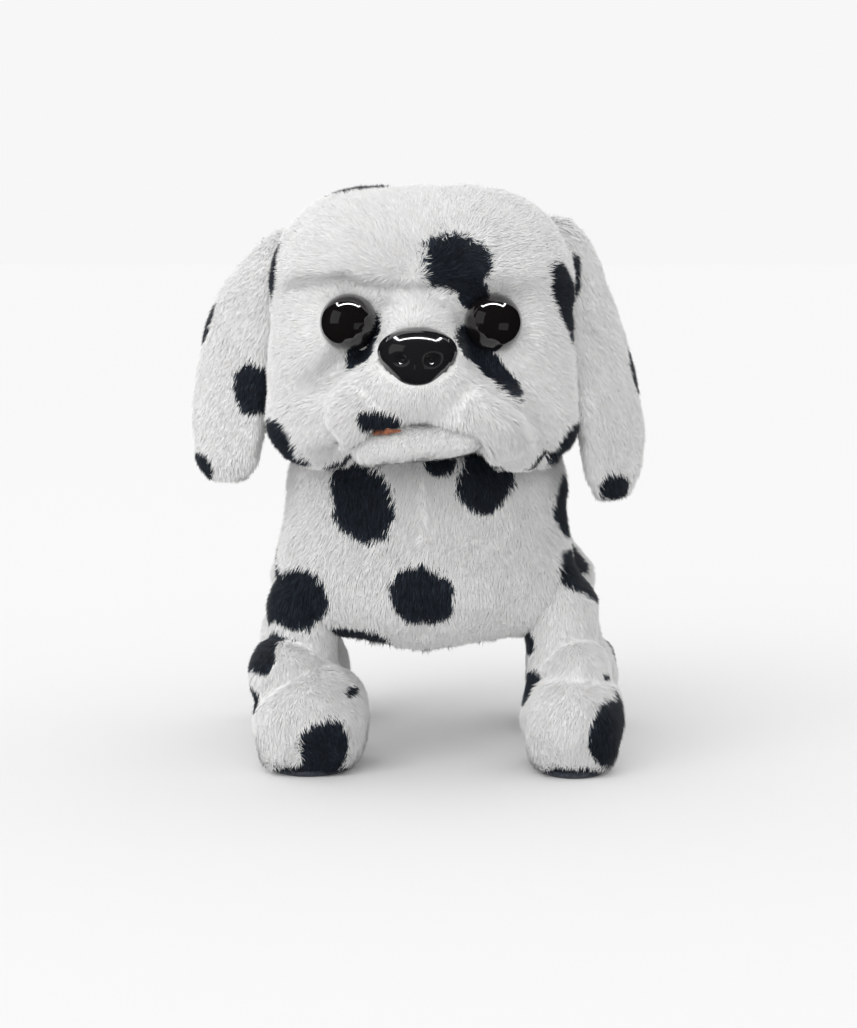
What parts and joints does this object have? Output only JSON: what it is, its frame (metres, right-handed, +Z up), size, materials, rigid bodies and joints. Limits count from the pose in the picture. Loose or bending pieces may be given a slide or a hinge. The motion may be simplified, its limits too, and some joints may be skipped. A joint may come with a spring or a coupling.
{
  "type": "interactive plush puppy",
  "caption": "Battery-driven walking plush puppy, white short-pile fur with dark round spots, nodding head, opening jaw, floppy ears, wagging tail and swinging legs.",
  "frame": {"origin": "on the floor, under the middle of the whole puppy's bounding box", "axes": "+Z up, the face looks along -Y, +X is the puppy's own left"},
  "size_m": [0.1366, 0.1877, 0.172],
  "materials": {
    "fur_white": "short-pile white fur fabric with dark round spots",
    "fur_foot": "short-pile white fur fabric with dark spots, stuffed foot sock",
    "mouth_lining": "red felt mouth lining",
    "sole": "dark matt rubber sole",
    "eye_gloss": "polished black-brown plastic dome",
    "nose_gloss": "polished black plastic",
    "shell": "ivory moulded plastic, fine texture",
    "frame_plastic": "blue moulded acetal legs and jaw",
    "gear_plastic": "white acetal gears",
    "door_plastic": "black moulded plastic",
    "steel": "bright steel",
    "brass": "brass pinion",
    "circuit": "green circuit laminate",
    "cell": "plain wrapped dry cells",
    "speaker_black": "black paper cone and frame",
    "core": "grey moulded core"
  },
  "bodies": {
    "chassis": {"left_housing": "shell", "right_housing": "shell", "housing_screws": "steel", "battery_box": "shell", "battery_cells": "cell", "battery_contacts": "steel", "motor": "steel", "circuit_board": "circuit", "speaker": "speaker_black", "switch_body": "door_plastic", "idler_axle": "steel", "hip_pins": "steel", "neck_pin": "steel", "tail_pin": "steel", "body_plush": "fur_white"},
    "door": {"battery_door": "door_plastic", "door_screw": "steel"},
    "switch": {"switch_slider": "door_plastic"},
    "crank": {"crank_gear": "gear_plastic", "crank_shaft": "steel", "left_crank": "frame_plastic", "right_crank": "frame_plastic"},
    "idler": {"idler_gear": "gear_plastic"},
    "rotor": {"motor_pinion": "brass", "motor_shaft": "steel"},
    "head": {"skull_front": "shell", "skull_rear": "shell", "head_screws": "steel", "neck_yoke": "shell", "left_eye": "eye_gloss", "right_eye": "eye_gloss", "eye_washers": "gear_plastic", "nose": "nose_gloss", "nose_washer": "gear_plastic", "jaw_pin": "steel", "head_plush": "fur_white"},
    "jaw": {"jaw_frame": "frame_plastic", "jaw_plush": "fur_white", "tongue": "mouth_lining"},
    "left_ear": {"left_ear": "fur_white"},
    "right_ear": {"right_ear": "fur_white"},
    "tail": {"tail_core": "core", "tail_plush": "fur_white"},
    "front_left_leg": {"front_left_leg_frame": "frame_plastic", "front_left_leg_plush": "fur_foot", "front_left_sole": "sole"},
    "front_right_leg": {"front_right_leg_frame": "frame_plastic", "front_right_leg_plush": "fur_foot", "front_right_sole": "sole"},
    "rear_left_leg": {"rear_left_leg_frame": "frame_plastic", "rear_left_leg_plush": "fur_foot", "rear_left_sole": "sole"},
    "rear_right_leg": {"rear_right_leg_frame": "frame_plastic", "rear_right_leg_plush": "fur_foot", "rear_right_sole": "sole"}
  },
  "joints": [
    {"name": "front_left_hip", "type": "hinge", "parent": "chassis", "child": "front_left_leg", "pos_m": [0, -0.03, 0.06], "axis": [1, 0, 0], "range_deg": [-8, 8]},
    {"name": "front_right_hip", "type": "hinge", "parent": "chassis", "child": "front_right_leg", "pos_m": [0, -0.03, 0.06], "axis": [1, 0, 0], "range_deg": [-8, 8]},
    {"name": "rear_left_hip", "type": "hinge", "parent": "chassis", "child": "rear_left_leg", "pos_m": [0, 0.042, 0.06], "axis": [1, 0, 0], "range_deg": [-8, 8]},
    {"name": "rear_right_hip", "type": "hinge", "parent": "chassis", "child": "rear_right_leg", "pos_m": [0, 0.042, 0.06], "axis": [1, 0, 0], "range_deg": [-8, 8]},
    {"name": "crank_turn", "type": "hinge", "parent": "chassis", "child": "crank", "pos_m": [0, 0.006, 0.074], "axis": [1, 0, 0], "continuous": true},
    {"name": "idler_turn", "type": "hinge", "parent": "chassis", "child": "idler", "pos_m": [0, 0.02177, 0.08135], "axis": [1, 0, 0], "continuous": true},
    {"name": "rotor_turn", "type": "hinge", "parent": "chassis", "child": "rotor", "pos_m": [0, 0.0306, 0.07625], "axis": [1, 0, 0], "continuous": true},
    {"name": "head_nod", "type": "hinge", "parent": "chassis", "child": "head", "pos_m": [0, -0.032, 0.112], "axis": [1, 0, 0], "range_deg": [-8, 12]},
    {"name": "jaw_open", "type": "hinge", "parent": "head", "child": "jaw", "pos_m": [0, -0.052, 0.101], "axis": [1, 0, 0], "range_deg": [0, 18], "stiffness_Nm_per_rad": 0.02, "springref_deg": -20.05},
    {"name": "left_ear_flop", "type": "hinge", "parent": "head", "child": "left_ear", "pos_m": [0.0405, -0.038, 0.157], "axis": [0, -1, 0], "range_deg": [0, 30]},
    {"name": "right_ear_flop", "type": "hinge", "parent": "head", "child": "right_ear", "pos_m": [-0.0405, -0.038, 0.157], "axis": [0, 1, 0], "range_deg": [0, 30]},
    {"name": "tail_wag", "type": "hinge", "parent": "chassis", "child": "tail", "pos_m": [0, 0.0585, 0.085], "axis": [0, 0, 1], "range_deg": [-20, 20]},
    {"name": "battery_door_slide", "type": "slide", "parent": "chassis", "child": "door", "axis": [0, 0, -1], "range_m": [0, 0.025]},
    {"name": "power_switch_slide", "type": "slide", "parent": "chassis", "child": "switch", "axis": [0, 1, 0], "range_m": [0, 0.004]}
  ],
  "couplings": [
    {"joint": "front_right_hip", "follows": "front_left_hip", "ratio": -1},
    {"joint": "rear_left_hip", "follows": "front_left_hip", "ratio": -1},
    {"joint": "rear_right_hip", "follows": "front_left_hip", "ratio": 1},
    {"joint": "idler_turn", "follows": "crank_turn", "ratio": -1.4167},
    {"joint": "rotor_turn", "follows": "crank_turn", "ratio": 3.4}
  ]
}
